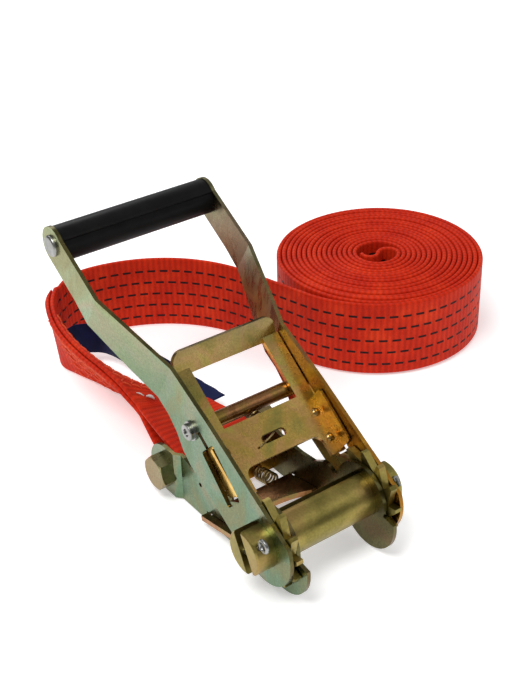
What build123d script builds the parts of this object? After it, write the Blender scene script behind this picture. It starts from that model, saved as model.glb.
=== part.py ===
"""Ratchet tie down for 50 mm webbing: long-handle buckle, bolted webbing loop and coiled strap.

Frame: millimetres, +X along the spindle, +Y from the spindle towards the anchor bolt, +Z up.
The origin is on the ground plane under the middle of the spindle.
Side outlines are drawn about the spindle axis, with the first coordinate running away from it.
"""
import os
from math import atan2, cos, hypot, radians, sin, tan

from build123d import *

os.makedirs("parts", exist_ok=True)

# ---------------------------------------------------------------- driving dimensions
webbing_width = 50.0
webbing_thickness = 2.8
webbing_side_clearance = 1.3       # each side, between the webbing and the frame plates

frame_thickness = 2.2
frame_joggle = 2.75                # sideways step of the frame plates ahead of the anchor bolt
arm_thickness = 2.2
wheel_thickness = 4.0
side_gap = 0.5                     # axial gap between plates that turn past each other

spindle_height = 28.0
spindle_radius = 12.0
spindle_slot = 6.0                 # gap between the two half shafts
spindle_slot_angle = 64.0          # direction of the slot in the side view, at rest
spindle_stick_out = 10.2           # length of shaft outside each handle arm
spindle_shift = -1.0               # the shafts sit to the left within their end play
running_clearance = 0.08           # radial, shaft in its holes
keying_clearance = 0.05            # half shafts in the ratchet wheels

wheel_tip_radius = 24.0
wheel_root_radius = 18.3
wheel_teeth = 12
tooth_phase = 22.0
pawl_clearance = 0.35              # between a lifted pawl tip and the tooth circle

anchor_distance = 95.5             # spindle axis to anchor bolt, along Y
anchor_height = 14.5
anchor_bolt_radius = 6.0
anchor_sleeve_radius = 8.0
anchor_hex = 18.0
anchor_head_height = 7.5
anchor_nut_height = 10.0

handle_rest_angle = 31.0           # handle above the horizontal, as it stands
handle_length = 192.5              # spindle axis to grip rod
grip_offset = 3.0                  # grip rod in front of the handle's centre line
grip_radius = 10.0
grip_rod_radius = 4.0
arm_end_radius = 22.5
arm_front = 18.5                   # front edge of the lower arm from the centre line
arm_rear = 22.0
upper_arm_half_width = 49.5        # outer face of the upper arm from the middle plane
flare_start = 97.0
flare_end = 149.0

trigger_lean = 6.0                 # trigger plane in front of the handle's centre line
trigger_thickness = 2.5
trigger_travel = 6.0
trigger_window_start = 60.0
trigger_window_end = 96.5
trigger_lower_edge = 37.0
trigger_bar_width = 10.5

crossbar_distance = 68.0
crossbar_radius = 4.2
crossbar_bolt_radius = 3.0
crossbar_half_length = 26.0

pawl_slope = 11.0                  # frame pawl falls away from the spindle
pawl_tip_angle = -36.0
pawl_thickness = 3.0
pawl_travel = 5.0
pawl_ear_length = 40.0

coil_radius = 68.75
coil_x = 179.7
coil_y = 163.5

# ---------------------------------------------------------------- stack along the spindle
frame_inner = webbing_width / 2 + webbing_side_clearance
frame_outer = frame_inner + frame_thickness
wheel_inner = frame_outer + side_gap
wheel_outer = wheel_inner + wheel_thickness
arm_inner = wheel_outer + side_gap + 0.1
arm_outer = arm_inner + arm_thickness
spindle_end = arm_outer + spindle_stick_out
upper_arm_inner = upper_arm_half_width - arm_thickness
joggle_run = 3.5                   # distance over which the frame plates step out
joggle_end = anchor_distance - anchor_sleeve_radius
joggle_start = joggle_end - joggle_run
anchor_inner = frame_inner + frame_joggle
anchor_outer = frame_outer + frame_joggle
bolt_drop = anchor_height - spindle_height
beyond = 80.0                      # reach of cutting shapes, past the plates on either side


# ---------------------------------------------------------------- helpers
def side_plane(x, angle=0.0):
    """Plane at X = x, centred on the spindle axis, turned by angle in the side view."""
    turn = radians(angle)
    return Plane(origin=(x, 0, spindle_height), x_dir=(0, cos(turn), sin(turn)), z_dir=(1, 0, 0))


def slab(outline, x0, x1, angle=0.0):
    """Flat plate with the given side outline, between two X positions."""
    return extrude(side_plane(x0, angle) * outline, x1 - x0)


def polar(radius, angle):
    return (radius * cos(radians(angle)), radius * sin(radians(angle)))


def circle_at(centre, radius):
    return Pos(*centre) * Circle(radius)


def bent_section(path, thickness):
    """Section of a bent sheet whose inner face follows a path of (distance, x) points."""
    outer = []
    for i, (a, x) in enumerate(path):
        before = path[max(i - 1, 0)]
        after = path[min(i + 1, len(path) - 1)]
        first = atan2(x - before[1], a - before[0]) if i > 0 else None
        second = atan2(after[1] - x, after[0] - a) if i < len(path) - 1 else None
        first = second if first is None else first
        second = first if second is None else second
        middle = (first + second) / 2
        reach = thickness / cos((second - first) / 2)
        outer.append((a - reach * sin(middle), x + reach * cos(middle)))
    return make_face(Polyline(*path, *reversed(outer), close=True))


def bent_slab(outline, path, thickness, angle=0.0):
    """Plate with a side outline, bent sideways along the given path; returns the right-hand one."""
    section = bent_section(path, thickness)
    turn = radians(angle)
    along = Vector(0, cos(turn), sin(turn))
    up = Vector(0, -sin(turn), cos(turn))
    sheet_plane = Plane(origin=Vector(0, 0, spindle_height), x_dir=along, z_dir=up)
    # the section is drawn as (distance, x); the plane's own y axis runs along -X
    bent = extrude(sheet_plane * mirror(section, about=Plane.XZ), beyond, both=True)
    block = slab(outline, 0, beyond, angle)
    return (bent & block).solids().sort_by(SortBy.VOLUME)[-1]


def mirrored(part):
    return mirror(part, about=Plane.YZ)


def rod(radius, x0, x1, centre, angle=0.0):
    return slab(circle_at(centre, radius), x0, x1, angle)


def hexagon(flats):
    return RegularPolygon(flats / 2, 6, major_radius=False)


def save(part, name):
    if isinstance(part, (list, ShapeList)):
        part = Compound(children=list(part))
    part.label = name
    export_step(part, f"parts/{name}.step")


# ---------------------------------------------------------------- frame
lobe_centre = (-6.0, -8.0)
lobe_radius = spindle_height + lobe_centre[1]
lobe_step_angle = 190.0
cam_radius = wheel_root_radius
bolt_centre = (anchor_distance, bolt_drop)
frame_end_radius = anchor_height
ground = -spindle_height


def pawl_point(along, depth=0.0):
    """Point of the frame pawl's side view: distance behind its tip, and depth below its top face."""
    tip = polar(wheel_tip_radius + pawl_clearance, pawl_tip_angle)
    slope = radians(pawl_slope)
    return (
        tip[0] + along * cos(slope) - depth * sin(slope),
        tip[1] - along * sin(slope) - depth * cos(slope),
    )


pawl_neck_start = 20.0
pawl_neck_end = 36.0
pawl_slot_gap = 0.3


def frame_outline():
    top_at_bolt = bolt_centre[1] + frame_end_radius
    body = make_face(
        Polyline(
            (0, 0),
            (cam_radius - 0.3, 2.0),
            (cam_radius + 4, 1.0),
            (cam_radius + 7.5, 3.4),
            (cam_radius + 11.5, 3.4),
            (cam_radius + 20, -1.5),
            (0.52 * anchor_distance, -2.5),
            (0.72 * anchor_distance, -1.5),
            (0.84 * anchor_distance, top_at_bolt),
            (anchor_distance, top_at_bolt),
            (anchor_distance, ground),
            (34, ground),
            (25, -21),
            (8, -19),
            close=True,
        )
    )
    lobe = circle_at(lobe_centre, lobe_radius)
    keep_below = Rot(0, 0, lobe_step_angle - 180) * Pos(0, -50) * Rectangle(120, 100)
    outline = body + circle_at(bolt_centre, frame_end_radius) + Circle(cam_radius) + (lobe & keep_below)
    outline -= Circle(spindle_radius + running_clearance)
    outline -= circle_at(bolt_centre, anchor_bolt_radius + 0.2)
    outline -= circle_at((0.68 * anchor_distance, -7.3), 1.3)
    start = pawl_point(pawl_neck_start - pawl_slot_gap, -pawl_slot_gap)
    end = pawl_point(pawl_neck_end + pawl_travel + pawl_slot_gap, -pawl_slot_gap)
    low_end = pawl_point(pawl_neck_end + pawl_travel + pawl_slot_gap, pawl_thickness + pawl_slot_gap)
    low_start = pawl_point(pawl_neck_start - pawl_slot_gap, pawl_thickness + pawl_slot_gap)
    outline -= make_face(Polyline(start, end, low_end, low_start, close=True))
    return outline


frame_path = [
    (-60, frame_inner),
    (joggle_start, frame_inner),
    (joggle_end, anchor_inner),
    (anchor_distance + 40, anchor_inner),
]
frame_right = bent_slab(frame_outline(), frame_path, frame_thickness)
save(frame_right, "frame_plate_right")
save(mirrored(frame_right), "frame_plate_left")

cross_plate_along = 54.0           # behind the pawl's tip, where the pawl springs seat
cross_plate_thickness = 3.0
cross_plate_top = 16.0
cross_plate_low = 1.2


def cross_plate():
    near_top = pawl_point(cross_plate_along, -cross_plate_top)
    far_top = pawl_point(cross_plate_along + cross_plate_thickness, -cross_plate_top)
    far_low = pawl_point(cross_plate_along + cross_plate_thickness, cross_plate_low)
    near_low = pawl_point(cross_plate_along, cross_plate_low)
    outline = make_face(Polyline(near_top, far_top, far_low, near_low, close=True))
    return slab(outline, -frame_inner, frame_inner)


save(cross_plate(), "frame_cross_plate")


# ---------------------------------------------------------------- anchor bolt, nut and sleeve
anchor_head_turn = 12.0
anchor_nut_turn = 20.0
head_crown = 1.3


def anchor_bolt():
    shank_end = anchor_outer + anchor_nut_height + 2.5
    shank = rod(anchor_bolt_radius, -anchor_outer - 0.5, shank_end, bolt_centre)
    head_end = -anchor_outer - anchor_head_height
    hex_outline = Pos(*bolt_centre) * Rot(0, 0, anchor_head_turn) * hexagon(anchor_hex)
    head = slab(hex_outline, head_end, -anchor_outer)
    crown_place = Pos(head_end + head_crown / 2, bolt_centre[0], anchor_height) * Rot(0, 90, 0)
    crown = crown_place * Cone(anchor_hex * 0.5, anchor_hex * 0.64, head_crown)
    body = rod(anchor_hex * 0.64, head_end + head_crown, -anchor_outer, bolt_centre)
    head = head & (crown + body)
    return chamfer((shank + head).edges().filter_by(GeomType.CIRCLE).sort_by(Axis.X)[-1], 1.0)


def anchor_nut():
    hex_outline = Pos(*bolt_centre) * Rot(0, 0, anchor_nut_turn) * hexagon(anchor_hex)
    nut = slab(hex_outline, anchor_outer, anchor_outer + anchor_nut_height)
    return nut - rod(anchor_bolt_radius + 0.02, 0, 80, bolt_centre)


save(anchor_bolt(), "anchor_bolt")
save(anchor_nut(), "anchor_nut")
sleeve = rod(anchor_sleeve_radius, -anchor_inner, anchor_inner, bolt_centre)
save(sleeve - rod(anchor_bolt_radius + 0.1, -60, 60, bolt_centre), "anchor_sleeve")


# ---------------------------------------------------------------- spindle
def half_moon(side, clearance=0.0):
    """Side view of one half shaft: side +1 lies on the slot's left, -1 on its right."""
    edge = spindle_slot / 2 - clearance
    cut = Pos(0, side * (edge + 50)) * Rectangle(200, 100)
    return Rot(0, 0, spindle_slot_angle) * (Circle(spindle_radius + clearance) & cut)


cotter_reach = arm_outer + 6.6     # middle of the shafts to each split pin
cotter_places = (spindle_shift - cotter_reach, spindle_shift + cotter_reach)
cotter_angle = 138.0               # direction of the pins' eyes in the side view, at rest
cotter_radius = 1.5
cotter_eye_radius = 2.9            # to the middle of its wire
cotter_eye_wire = 1.0


def cotter_hole(x):
    """Plane across a split pin's hole; the right-hand pin is put in from the other side."""
    turn = radians(cotter_angle if x < 0 else cotter_angle + 180)
    return Plane(origin=(x, 0, spindle_height), x_dir=(1, 0, 0), z_dir=(0, cos(turn), sin(turn)))


def half_shaft(side):
    shaft = slab(half_moon(side), spindle_shift - spindle_end, spindle_shift + spindle_end)
    ends = shaft.edges().filter_by(GeomType.CIRCLE)
    shaft = chamfer(ends, 0.8)
    for x in cotter_places:
        shaft -= cotter_hole(x) * Cylinder(cotter_radius + 0.1, 60)
    return shaft


def ratchet_outline():
    points = []
    for tooth in range(wheel_teeth):
        face = tooth_phase + tooth * 360 / wheel_teeth
        points.append(polar(wheel_root_radius, face))
        points.append(polar(wheel_tip_radius, face))
        points.append(polar(wheel_tip_radius, face + 5))
        points.append(polar(wheel_root_radius + 0.6, face + 360 / wheel_teeth - 6))
    outline = make_face(Polyline(*points, close=True))
    return outline - half_moon(1, keying_clearance) - half_moon(-1, keying_clearance)


def cotter_pin(x):
    """Split pin through both half shafts, with its eye on the front one and bent legs behind."""
    plane = cotter_hole(x)
    length = 2 * spindle_radius + 3
    shank = plane * Pos(0, 0, -0.5) * Cylinder(cotter_radius, length)
    eye_centre = spindle_radius + cotter_eye_radius + cotter_eye_wire
    eye = plane * Pos(0, 0, eye_centre) * Rot(0, 90, 0) * Torus(cotter_eye_radius, cotter_eye_wire)
    leg = plane * Pos(0, 1.9, -length / 2 - 0.2) * Rot(90, 0, 0) * Cylinder(0.9, 4.6)
    return (shank + eye + leg).solids().sort_by(SortBy.VOLUME)[-1]


save(half_shaft(1), "half_shaft_front")
save(half_shaft(-1), "half_shaft_rear")
wheel = slab(ratchet_outline(), wheel_inner, wheel_outer)
save(wheel, "ratchet_wheel_right")
save(mirrored(wheel), "ratchet_wheel_left")
save([cotter_pin(x) for x in cotter_places], "cotter_pins")

# ---------------------------------------------------------------- handle
grip_centre = (handle_length, grip_offset)
arm_top_radius = 10.6
upper_front = grip_offset + arm_top_radius - 0.8
upper_rear = -8.5
crossbar_centre = (
    crossbar_distance,
    crossbar_distance * tan(radians(trigger_lean)) - trigger_thickness - crossbar_radius - 0.35,
)
tab_start = 26.5
tab_end = 53.0
window_length = 31.0
window_width = 14.5
window_centre = (39.5, 0.3)
window_turn = 13.5
guide_slot_end = tab_end + trigger_travel + 5


def handle_outline():
    body = make_face(
        Polyline(
            (-13, arm_front),
            (60, arm_front - 0.4),
            (flare_start, 16.0),
            (flare_end, upper_front - 0.6),
            (handle_length, upper_front),
            (handle_length, grip_offset - arm_top_radius),
            (flare_end + 14, upper_rear),
            (flare_end, -10.5),
            (flare_start + 20, -12.5),
            (86, -12.5),
            (76, -15.0),
            (67, -20.0),
            (58, -arm_rear),
            (0, -arm_rear),
            close=True,
        )
    )
    end = Circle(arm_end_radius) & (Pos(0, -100 + arm_front) * Rectangle(200, 200))
    outline = body + end + circle_at(grip_centre, arm_top_radius)
    outline = outline & (Pos(60, -100 + arm_front) * Rectangle(400, 200))
    outline -= Circle(spindle_radius + running_clearance)
    outline -= circle_at(grip_centre, grip_rod_radius + 0.05)
    outline -= circle_at(crossbar_centre, crossbar_bolt_radius + 0.05)
    window = fillet(Rectangle(window_length, window_width).vertices(), 1.6)
    outline -= Pos(*window_centre) * Rot(0, 0, window_turn) * window
    slot_length = guide_slot_end - window_centre[0]
    slot = Rectangle(slot_length, trigger_thickness + 0.7)
    slot_middle = window_centre[0] + slot_length / 2
    outline -= Rot(0, 0, trigger_lean) * Pos(slot_middle, -trigger_thickness / 2) * slot
    return outline


handle_path = [
    (-40, arm_inner),
    (flare_start, arm_inner),
    (flare_end, upper_arm_inner),
    (handle_length + 30, upper_arm_inner),
]
arm_right = bent_slab(handle_outline(), handle_path, arm_thickness, handle_rest_angle)
save(arm_right, "handle_arm_right")
save(mirrored(arm_right), "handle_arm_left")


def grip_sleeve():
    half = upper_arm_inner
    ridge = Pos(grip_centre[0] - 4, grip_centre[1] + grip_radius - 1.1) * Rectangle(1.6, 2.0)
    outline = circle_at(grip_centre, grip_radius) + ridge
    sleeve = slab(outline - circle_at(grip_centre, grip_rod_radius + 0.1), -half, half, handle_rest_angle)
    return sleeve


def headed_rod(radius, head_radius, head_height, half, centre, angle):
    """Rod through both arms with a low domed head riveted on each end."""
    body = rod(radius, -half, half, centre, angle)
    for side in (-1, 1):
        head = rod(head_radius, side * half, side * (half + head_height), centre, angle)
        outer = head.edges().filter_by(GeomType.CIRCLE).sort_by(Axis.X)[-1 if side > 0 else 0]
        body += fillet(outer, head_height * 0.7)
    return body


save(grip_sleeve(), "grip_sleeve")
save(headed_rod(grip_rod_radius, 6.0, 2.0, upper_arm_half_width, grip_centre, handle_rest_angle), "grip_rod")
tube = rod(crossbar_radius, -crossbar_half_length, crossbar_half_length, crossbar_centre, handle_rest_angle)
tube -= rod(crossbar_bolt_radius + 0.1, -60, 60, crossbar_centre, handle_rest_angle)
save(tube, "crossbar_tube")

washer_thickness = 1.0
washer_radius = 5.3
crossbar_head_radius = 4.5
crossbar_head_height = 2.4


def crossbar_bolt():
    """Bolt through arms, trigger flanges and tube, with a low dished head on the left."""
    head_face = arm_outer + washer_thickness
    head_end = head_face + crossbar_head_height
    shank = rod(crossbar_bolt_radius, -head_face, head_face + 6.0, crossbar_centre, handle_rest_angle)
    head = rod(crossbar_head_radius, -head_end, -head_face, crossbar_centre, handle_rest_angle)
    head = fillet(head.edges().filter_by(GeomType.CIRCLE).sort_by(Axis.X)[0], 0.7)
    dish = rod(2.2, -head_end - 1, -head_end + 0.9, crossbar_centre, handle_rest_angle)
    return shank + head - dish


def crossbar_nut():
    face = arm_outer + washer_thickness
    nut = slab(Pos(*crossbar_centre) * hexagon(10.0), face, face + 5.0, handle_rest_angle)
    return nut - rod(crossbar_bolt_radius + 0.02, 0, 80, crossbar_centre, handle_rest_angle)


def crossbar_washer(side):
    faces = sorted((side * arm_outer, side * (arm_outer + washer_thickness)))
    disc = rod(washer_radius, *faces, crossbar_centre, handle_rest_angle)
    return disc - rod(crossbar_bolt_radius + 0.02, -80, 80, crossbar_centre, handle_rest_angle)


save(crossbar_bolt(), "crossbar_bolt")
save(crossbar_nut(), "crossbar_nut")
save([crossbar_washer(-1), crossbar_washer(1)], "crossbar_washers")

# ---------------------------------------------------------------- trigger
trigger_angle = handle_rest_angle + trigger_lean
trigger_half = wheel_outer
tab_reach = arm_inner + 0.8         # the tabs end inside the arm windows
trigger_leg_inner = 24.0
trigger_window_half = 23.0
trigger_flange_depth = 12.5
trigger_cheek_start = 26.0
trigger_cheek_end = 57.0
trigger_cheek_height = 9.0
trigger_cheek_thickness = 1.2
dimple_x = 28.4
dimple_round = 2.9
dimple_height = 1.3
trigger_tip = wheel_tip_radius + pawl_clearance


def trigger_plane(depth=0.0):
    """Plane of the trigger plate's top face: local x runs outwards, local y to the left."""
    turn = radians(trigger_angle)
    up = Vector(0, -sin(turn), cos(turn))
    origin = Vector(0, 0, spindle_height) + up * depth
    return Plane(origin=origin, x_dir=(0, cos(turn), sin(turn)), z_dir=up)


def dimple():
    """Cap of a sphere, as pressed up through the plate."""
    keep = Pos(0, 0, dimple_round - dimple_height / 2) * Box(9, 9, dimple_height)
    return Sphere(dimple_round) & keep


def trigger():
    length = trigger_window_end - trigger_tip
    middle = trigger_tip + length / 2
    face = Pos(middle, 0) * Rectangle(length, 2 * trigger_half)
    window_length_here = trigger_window_end - trigger_window_start
    window = Rectangle(window_length_here + 6, 2 * trigger_window_half)
    face -= Pos(trigger_window_start + window_length_here / 2 + 3, 0) * window
    gap = trigger_lower_edge - trigger_tip + 10
    cut = fillet(Rectangle(gap, 2 * trigger_leg_inner).vertices(), 5)
    face -= Pos(trigger_lower_edge - gap / 2, 0) * cut
    face -= Pos(46.5, 0) * Rot(0, 0, 90) * SlotOverall(15, 4.8)
    for side in (-1, 1):
        tab = Rectangle(tab_end - tab_start, tab_reach - trigger_half + 0.1)
        face += Pos((tab_start + tab_end) / 2, side * (tab_reach + trigger_half) / 2) * tab
    plate = extrude(trigger_plane() * face, -trigger_thickness)
    plate += trigger_loop_bar()
    for side in (-1, 1):
        plate += trigger_flange(side) + trigger_cheek(side)
        for along in (33.5, 48.5):
            plate += trigger_plane() * Pos(along, side * dimple_x, dimple_height - dimple_round) * dimple()
    return plate


def trigger_loop_bar():
    """Cross bar of the finger loop, tilted forward from the plate, with rounded outer corners."""
    turn = radians(trigger_angle)
    tilt = radians(trigger_angle + 42)
    start = trigger_window_end - 4
    origin = Vector(0, 0, spindle_height) + Vector(0, cos(turn), sin(turn)) * (start + 4)
    up = Vector(0, -sin(tilt), cos(tilt))
    bar_plane = Plane(origin=origin, x_dir=(0, cos(tilt), sin(tilt)), z_dir=up)
    half = trigger_half - 1.2
    bar = Pos(trigger_bar_width / 2 - 1.5, 0) * Rectangle(trigger_bar_width + 3, 2 * half)
    bar = fillet(bar.vertices().group_by(Axis.X)[-1], 6)
    return extrude(bar_plane * bar, -trigger_thickness)


def trigger_cheek(side):
    """Thin upright cheek that closes the arm window above the plate."""
    length = trigger_cheek_end - trigger_cheek_start
    middle = (trigger_cheek_start + trigger_cheek_end) / 2
    outline = Pos(middle, trigger_cheek_height / 2 - 0.5) * Rectangle(length, trigger_cheek_height + 1)
    outline = fillet([v for v in outline.vertices() if v.Y > 1], 2)
    faces = sorted((side * (trigger_half - trigger_cheek_thickness), side * trigger_half))
    return slab(outline, *faces, trigger_angle)


def trigger_flange(side):
    """Side flange with the slot that slides along the crossbar bolt."""
    start = trigger_tip + 3.5
    end = trigger_window_end - 6
    outline = Pos((start + end) / 2, -trigger_flange_depth / 2) * Rectangle(end - start, trigger_flange_depth)
    low = [v for v in outline.vertices() if v.Y < -1]
    outline = fillet(low, 5)
    depth = -trigger_thickness - crossbar_radius - 0.35
    slot_length = trigger_travel + 2 * crossbar_bolt_radius + 0.8
    slot_middle = crossbar_distance * cos(radians(trigger_lean)) + crossbar_distance * sin(
        radians(trigger_lean)
    ) * tan(radians(trigger_lean)) - trigger_travel / 2 - 0.7
    outline -= Pos(slot_middle, depth) * SlotOverall(slot_length, 2 * crossbar_bolt_radius + 0.8)
    faces = sorted((side * (trigger_half - trigger_thickness), side * trigger_half))
    return slab(outline, *faces, trigger_angle)


save(trigger(), "trigger_plate")

trigger_spring_radius = 3.4


def coil_spring(start, direction, length, radius, wire, turns):
    """Round-wire compression spring standing between two points on its axis."""
    helix = Helix(pitch=(length - wire) / turns, height=length - wire, radius=radius - wire / 2)
    wire_section = Plane(origin=helix @ 0, z_dir=helix % 0) * Circle(wire / 2)
    spring = sweep(wire_section, path=helix)
    return Plane(origin=start, z_dir=direction) * Pos(0, 0, wire / 2) * spring


def trigger_spring():
    """Compression spring under the trigger plate, between its slot and the crossbar."""
    start = 51.0
    end = crossbar_distance - crossbar_radius - 0.8
    plane = trigger_plane(-trigger_thickness - trigger_spring_radius - 0.4)
    turn = radians(trigger_angle)
    direction = Vector(0, cos(turn), sin(turn))
    origin = plane.origin + direction * start
    return coil_spring(origin, direction, end - start, trigger_spring_radius, 1.0, 6)


save(trigger_spring(), "trigger_spring")

# ---------------------------------------------------------------- frame pawl
pawl_ear_outer = wheel_outer
pawl_body_half = frame_inner - 0.3
pawl_body_start = 16.0
pawl_relief_radius = 46.0
pawl_relief_depth = 6.0


def pawl_plane(depth=0.0):
    """Plane of the pawl's top face: local x runs away from the spindle, local y to the left."""
    slope = radians(-pawl_slope)
    tip = polar(wheel_tip_radius + pawl_clearance, pawl_tip_angle)
    up = Vector(0, -sin(slope), cos(slope))
    origin = Vector(0, tip[0], tip[1] + spindle_height) + up * depth
    return Plane(origin=origin, x_dir=(0, cos(slope), sin(slope)), z_dir=up)


def frame_pawl():
    body_length = pawl_ear_length - pawl_body_start
    face = Pos(pawl_body_start + body_length / 2, 0) * Rectangle(body_length, 2 * pawl_body_half)
    neck_length = pawl_neck_end - pawl_neck_start
    face += Pos(pawl_neck_start + neck_length / 2, 0) * Rectangle(neck_length, 2 * pawl_ear_outer)
    ear_width = pawl_ear_outer - wheel_inner
    for side in (-1, 1):
        ear = Rectangle(pawl_ear_length, ear_width)
        face += Pos(pawl_ear_length / 2, side * (wheel_inner + ear_width / 2)) * ear
    relief_centre = pawl_body_start + pawl_relief_depth - pawl_relief_radius
    face -= Pos(relief_centre, 0) * Circle(pawl_relief_radius)
    plate = extrude(pawl_plane() * face, -pawl_thickness)
    peg = pawl_plane() * Pos(pawl_ear_length - 8, 9, 1.4) * Cylinder(1.6, 3.2)
    return plate + peg


pawl_spring_radius = 4.2
pawl_spring_x = 15.0


def pawl_spring(x):
    """Compression spring between the pawl's rear edge and the cross plate."""
    length = cross_plate_along - pawl_ear_length - 0.4
    slope = radians(-pawl_slope)
    direction = Vector(0, cos(slope), sin(slope))
    seat = pawl_plane(-pawl_thickness / 2 + 1.6).origin
    origin = seat + direction * (pawl_ear_length + 0.2) + Vector(x, 0, 0)
    return coil_spring(origin, direction, length, pawl_spring_radius, 1.3, 5)


save(frame_pawl(), "frame_pawl")
save([pawl_spring(-pawl_spring_x), pawl_spring(pawl_spring_x)], "pawl_springs")

# ---------------------------------------------------------------- webbing
loop_inner = anchor_sleeve_radius + 0.3
loop_outer = loop_inner + webbing_thickness
loop_reach = 21.0                  # bolt centre to the point where the two layers meet
loop_rise = 15.0                   # the sewn end climbs away from the bolt at this angle
double_thickness = 2 * webbing_thickness + 0.2
lower_half = webbing_width / 2


def teardrop(radius, reach, half):
    """Side view of a loop round the bolt that closes to a flat end."""
    lean = atan2(radius - half, reach)
    top = (radius * sin(lean), radius * cos(lean))
    flanks = Polyline(top, (reach, half), (reach, -half), (top[0], -top[1]), close=True)
    outline = make_face(flanks) + Circle(radius)
    return Pos(*bolt_centre) * Rot(0, 0, loop_rise) * outline


def webbing_loop():
    outline = teardrop(loop_outer, loop_reach, double_thickness / 2)
    outline -= teardrop(loop_inner, loop_reach - 4, 0.15)
    return slab(outline, -lower_half, lower_half)


save(webbing_loop(), "webbing_loop")


def across(left, right, heading, thickness):
    """Strap cross-section between its two edges, square to the given heading."""
    left = Vector(*left)
    right = Vector(*right)
    normal = Vector(*heading).normalized()
    width = right - left
    width = width - normal * width.dot(normal)
    plane = Plane(origin=(left + right) / 2, x_dir=width, z_dir=normal)
    return plane * Rectangle(width.length, thickness)


rise = radians(loop_rise)
tail_start = loop_reach + 0.3
tail_y = anchor_distance + tail_start * cos(rise)
tail_z = anchor_height + tail_start * sin(rise)
join_x = -12.0                     # where the sewn end starts and the single strap ends
join_y = anchor_distance + 149.5
join_heading = 248.8
back = radians(join_heading + 180)
join_lean = radians(5)
# left edge (x, z), right edge (x, z), distance ahead of the anchor bolt, heading of the strap
tail_twist = [
    ((-25, 37), (20, 18), 35.5, (0, 1, 0.2)),
    ((-26, 41), (14, 12.5), 54.5, (-0.05, 1, 0)),
    ((-27.5, 42), (5, 5.5), 74.5, (-0.1, 1, 0)),
    ((-29, 42), (-1, 3), 99.5, (0, 1, 0)),
    ((-28.5, 43.5), (-4, 2.5), 122.5, (0.1, 1, 0)),
    ((-25, 47), (-7, 2), 136.5, (0.2, 1, 0)),
]


def tail_station(left, right, ahead, heading):
    y = anchor_distance + ahead
    return across((left[0], y, left[1]), (right[0], y, right[1]), heading, double_thickness)


def webbing_tail():
    """Sewn double end of the strap, twisting from flat at the bolt to standing on its edge."""
    bolt_end = (0, cos(rise), sin(rise))
    first = across((-lower_half, tail_y, tail_z), (lower_half, tail_y, tail_z), bolt_end, double_thickness)
    sections = [first] + [tail_station(*twist) for twist in tail_twist]
    centre = Vector(join_x - 0.3 * cos(back), join_y - 0.3 * sin(back), webbing_width / 2)
    lean = Vector(sin(join_lean) * sin(back), -sin(join_lean) * cos(back), -cos(join_lean))
    half = lean * (webbing_width / 2 - 0.5)
    left = centre - half
    right = centre + half
    sections.append(across(tuple(left), tuple(right), (cos(back), sin(back), 0), double_thickness))
    return loft(sections, ruled=True)


save(webbing_tail(), "webbing_tail")

departure = 104.6                  # heading where the strap leaves the coil
run_middle = (coil_x - 81.7, coil_y + 34.0)
run_top = (join_x + 34.0, join_y + 20.0)


def webbing_run():
    """Single strap standing on its edge, from the coil round to the sewn end."""
    heading = radians(departure)
    start_radius = coil_radius + webbing_thickness / 2 + 0.3
    start = (coil_x - start_radius * sin(heading), coil_y + start_radius * cos(heading))
    straight = Line(start, run_middle)
    first = TangentArc(run_middle, run_top, tangent=straight % 1)
    second = TangentArc(run_top, (join_x, join_y), tangent=first % 1)
    path = straight + first + second
    upright = Plane(origin=(*start, webbing_width / 2), x_dir=(0, 0, 1), z_dir=straight % 0)
    strap = upright * Rectangle(webbing_width, webbing_thickness)
    return sweep(strap, path=Pos(0, 0, webbing_width / 2) * path)


save(webbing_run(), "webbing_run")
save(Pos(coil_x, coil_y, webbing_width / 2) * Cylinder(coil_radius, webbing_width), "webbing_coil")

label_thickness = 0.8
label_stations = [
    ((-5.5, 237, 6), (-8, 238.5, 32), (1, -0.1, 0)),
    ((5, 233, 5), (2, 235, 31), (1, -0.5, 0)),
    ((15, 204, 3), (14, 206, 28), (0.3, -1, 0)),
    ((16, 170, 1), (31, 168, 13), (0.1, -1, 0)),
    ((24, 148, 1.5), (37, 141, 8), (0.1, -1, 0)),
]
label_sections = [across(*station, label_thickness) for station in label_stations]
save(loft(label_sections, ruled=True), "strap_label")
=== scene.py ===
"""Looks of the ratchet tie down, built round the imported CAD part.

Metres, in the CAD frame: +X along the spindle, +Y towards the anchor bolt, +Z up.
The strap is one continuous ribbon: coil, single run, sewn double end and loop round the bolt.
"""
import math

import bpy
import numpy as np
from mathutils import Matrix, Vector


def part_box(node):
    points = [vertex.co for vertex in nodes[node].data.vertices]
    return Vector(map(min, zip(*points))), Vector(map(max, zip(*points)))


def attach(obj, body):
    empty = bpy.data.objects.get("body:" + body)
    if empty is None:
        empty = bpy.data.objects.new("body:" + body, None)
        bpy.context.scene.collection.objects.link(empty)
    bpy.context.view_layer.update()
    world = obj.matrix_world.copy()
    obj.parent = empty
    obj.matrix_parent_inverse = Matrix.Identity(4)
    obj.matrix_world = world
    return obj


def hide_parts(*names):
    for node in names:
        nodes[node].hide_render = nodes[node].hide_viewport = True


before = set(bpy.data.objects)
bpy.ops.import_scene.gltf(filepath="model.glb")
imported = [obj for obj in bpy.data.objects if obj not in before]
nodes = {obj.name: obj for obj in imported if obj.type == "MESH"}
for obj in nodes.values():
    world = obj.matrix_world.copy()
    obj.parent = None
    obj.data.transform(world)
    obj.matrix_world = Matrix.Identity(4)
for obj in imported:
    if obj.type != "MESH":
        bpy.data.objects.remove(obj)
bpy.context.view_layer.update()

mm = 0.001
strap_width = 50 * mm
strap_thickness = 2.9 * mm
label_thickness = 0.6 * mm


def add_object(name, data):
    item = bpy.data.objects.new(name, data)
    bpy.context.scene.collection.objects.link(item)
    return item


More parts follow.
